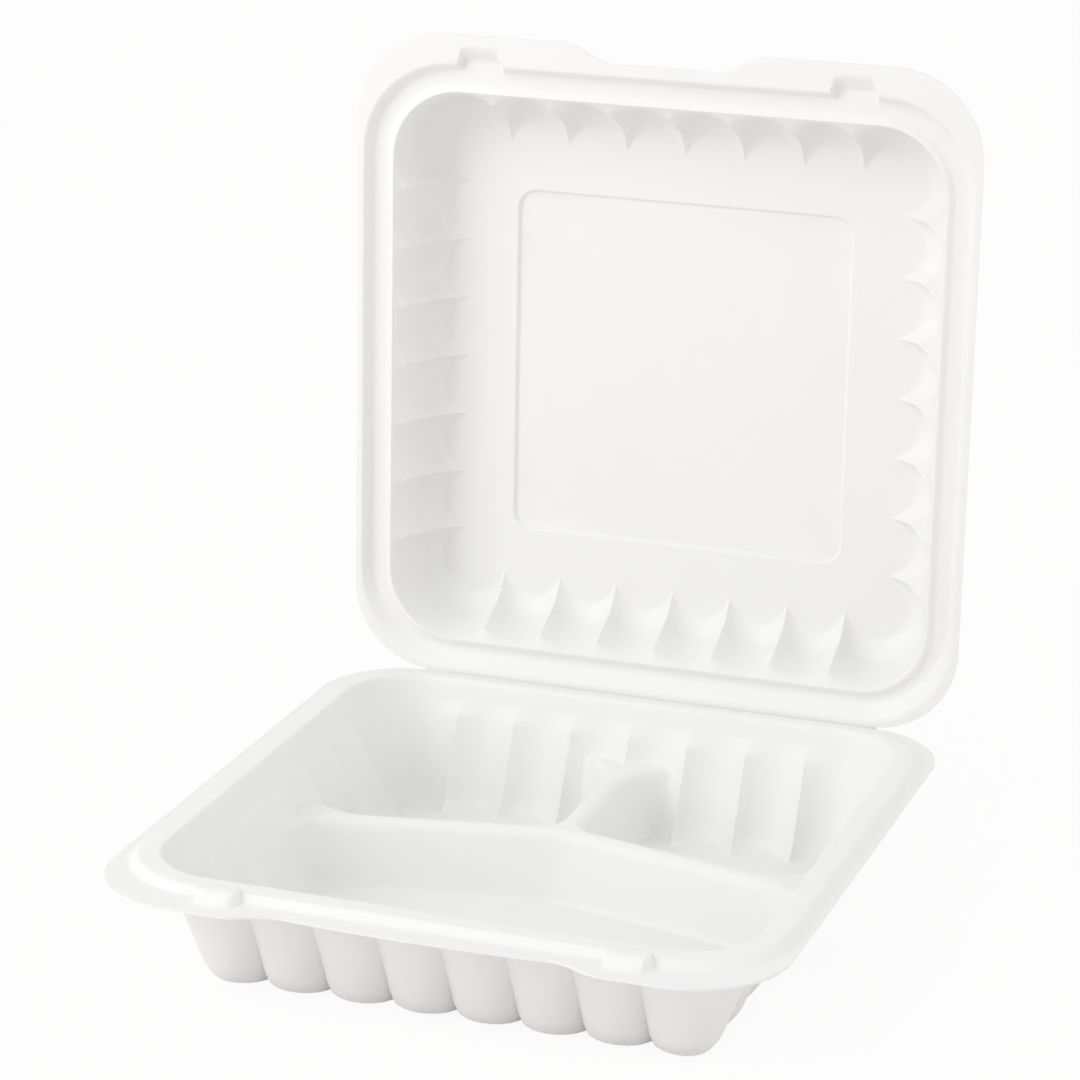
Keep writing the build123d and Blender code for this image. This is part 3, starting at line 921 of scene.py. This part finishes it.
class OBJECT_OT_container_stage(bpy.types.Operator):
    """Set the pale floor, the soft light and the camera"""

    bl_idname = "object.container_stage"
    bl_label = "Stage"

    def add_floor(self, scene, stage):
        """A wide flat floor just under the tray."""
        size, low = stage.floor_size / 2, cad_box[0][2] - stage.floor_gap
        corners = [(-size, -size, low), (size, -size, low), (size, size, low), (-size, size, low)]
        mesh = bpy.data.meshes.new("floor")
        mesh.from_pydata(corners, [], [(0, 1, 2, 3)])
        mesh.materials.append(floor_material(stage))
        floor = bpy.data.objects.new("floor", mesh)
        scene.collection.objects.link(floor)

    def add_world(self, scene, stage):
        """Even light from all round, which the camera sees as plain white."""
        scene.world = bpy.data.worlds.new("soft_room")
        scene.world.use_nodes = True
        tree = scene.world.node_tree
        background = tree.nodes["Background"]
        background.inputs["Color"].default_value = white
        strength = stage.ambient + seen_rays(tree) * (1 - stage.ambient)
        tree.links.new(strength.socket, background.inputs["Strength"])

    def add_lamp(self, scene, stage, name):
        """A square area lamp that faces the container."""
        where, size, power = (getattr(stage, name + part) for part in ("_place", "_size", "_power"))
        data = bpy.data.lights.new(name + "_lamp", "AREA")
        data.shape, data.size, data.energy = "SQUARE", size, power
        lamp = bpy.data.objects.new(name + "_lamp", data)
        scene.collection.objects.link(lamp)
        lamp.location = where
        aim = Vector(stage.lamp_target) - Vector(where)
        lamp.rotation_euler = aim.to_track_quat("-Z", "Y").to_euler()

    def add_camera(self, scene, stage):
        """The camera, turned about its target by azimuth and elevation, and rolled about its own axis."""
        data = bpy.data.cameras.new("camera")
        data.lens, data.sensor_width, data.sensor_fit = stage.focal_length, stage.sensor, "HORIZONTAL"
        camera = bpy.data.objects.new("camera", data)
        scene.collection.objects.link(camera)
        level = math.cos(stage.elevation)
        back = Vector(
            (math.sin(stage.azimuth) * level, -math.cos(stage.azimuth) * level, math.sin(stage.elevation))
        )
        camera.location = Vector(stage.target) + back * stage.distance
        turn = back.to_track_quat("Z", "Y") @ Quaternion((0, 0, 1), -stage.roll)
        camera.rotation_euler = turn.to_euler()
        scene.camera = camera

    def execute(self, context):
        scene, stage = context.scene, context.scene.container_stage
        self.add_floor(scene, stage)
        self.add_world(scene, stage)
        for name in ("key", "fill", "side"):
            self.add_lamp(scene, stage, name)
        self.add_camera(scene, stage)
        scene.view_settings.view_transform = "Standard"
        return {"FINISHED"}


class VIEW3D_PT_container(bpy.types.Panel):
    """The container's pieces and their settings"""

    bl_label = "Container"
    bl_idname = "VIEW3D_PT_container"
    bl_space_type = "VIEW_3D"
    bl_region_type = "UI"
    bl_category = "Container"

    def draw(self, context):
        for operator in operators:
            self.layout.operator(operator.bl_idname)
        for name in groups:
            settings = getattr(context.scene, name)
            box = self.layout.box()
            for key in settings.__annotations__:
                box.prop(settings, key)


operators = (
    OBJECT_OT_container_tray,
    OBJECT_OT_container_lid,
    OBJECT_OT_container_fold,
    OBJECT_OT_container_stage,
)
groups = {
    "container_sheet": ContainerSheet,
    "container_tray": ContainerTray,
    "container_lid": ContainerLid,
    "container_fold": ContainerFold,
    "container_finish": ContainerFinish,
    "container_stage": ContainerStage,
}


def register():
    for kind in (*groups.values(), *operators, VIEW3D_PT_container):
        bpy.utils.register_class(kind)
    for name, kind in groups.items():
        setattr(bpy.types.Scene, name, bpy.props.PointerProperty(type=kind))


def unregister():
    for name in groups:
        delattr(bpy.types.Scene, name)
    for kind in (VIEW3D_PT_container, *reversed(operators), *reversed(groups.values())):
        bpy.utils.unregister_class(kind)


def main():
    """Register the classes, and build every piece and the stage."""
    register()
    bpy.ops.object.container_tray()
    bpy.ops.object.container_lid()
    bpy.ops.object.container_fold()
    bpy.ops.object.container_stage()


if __name__ == "__main__":
    main()
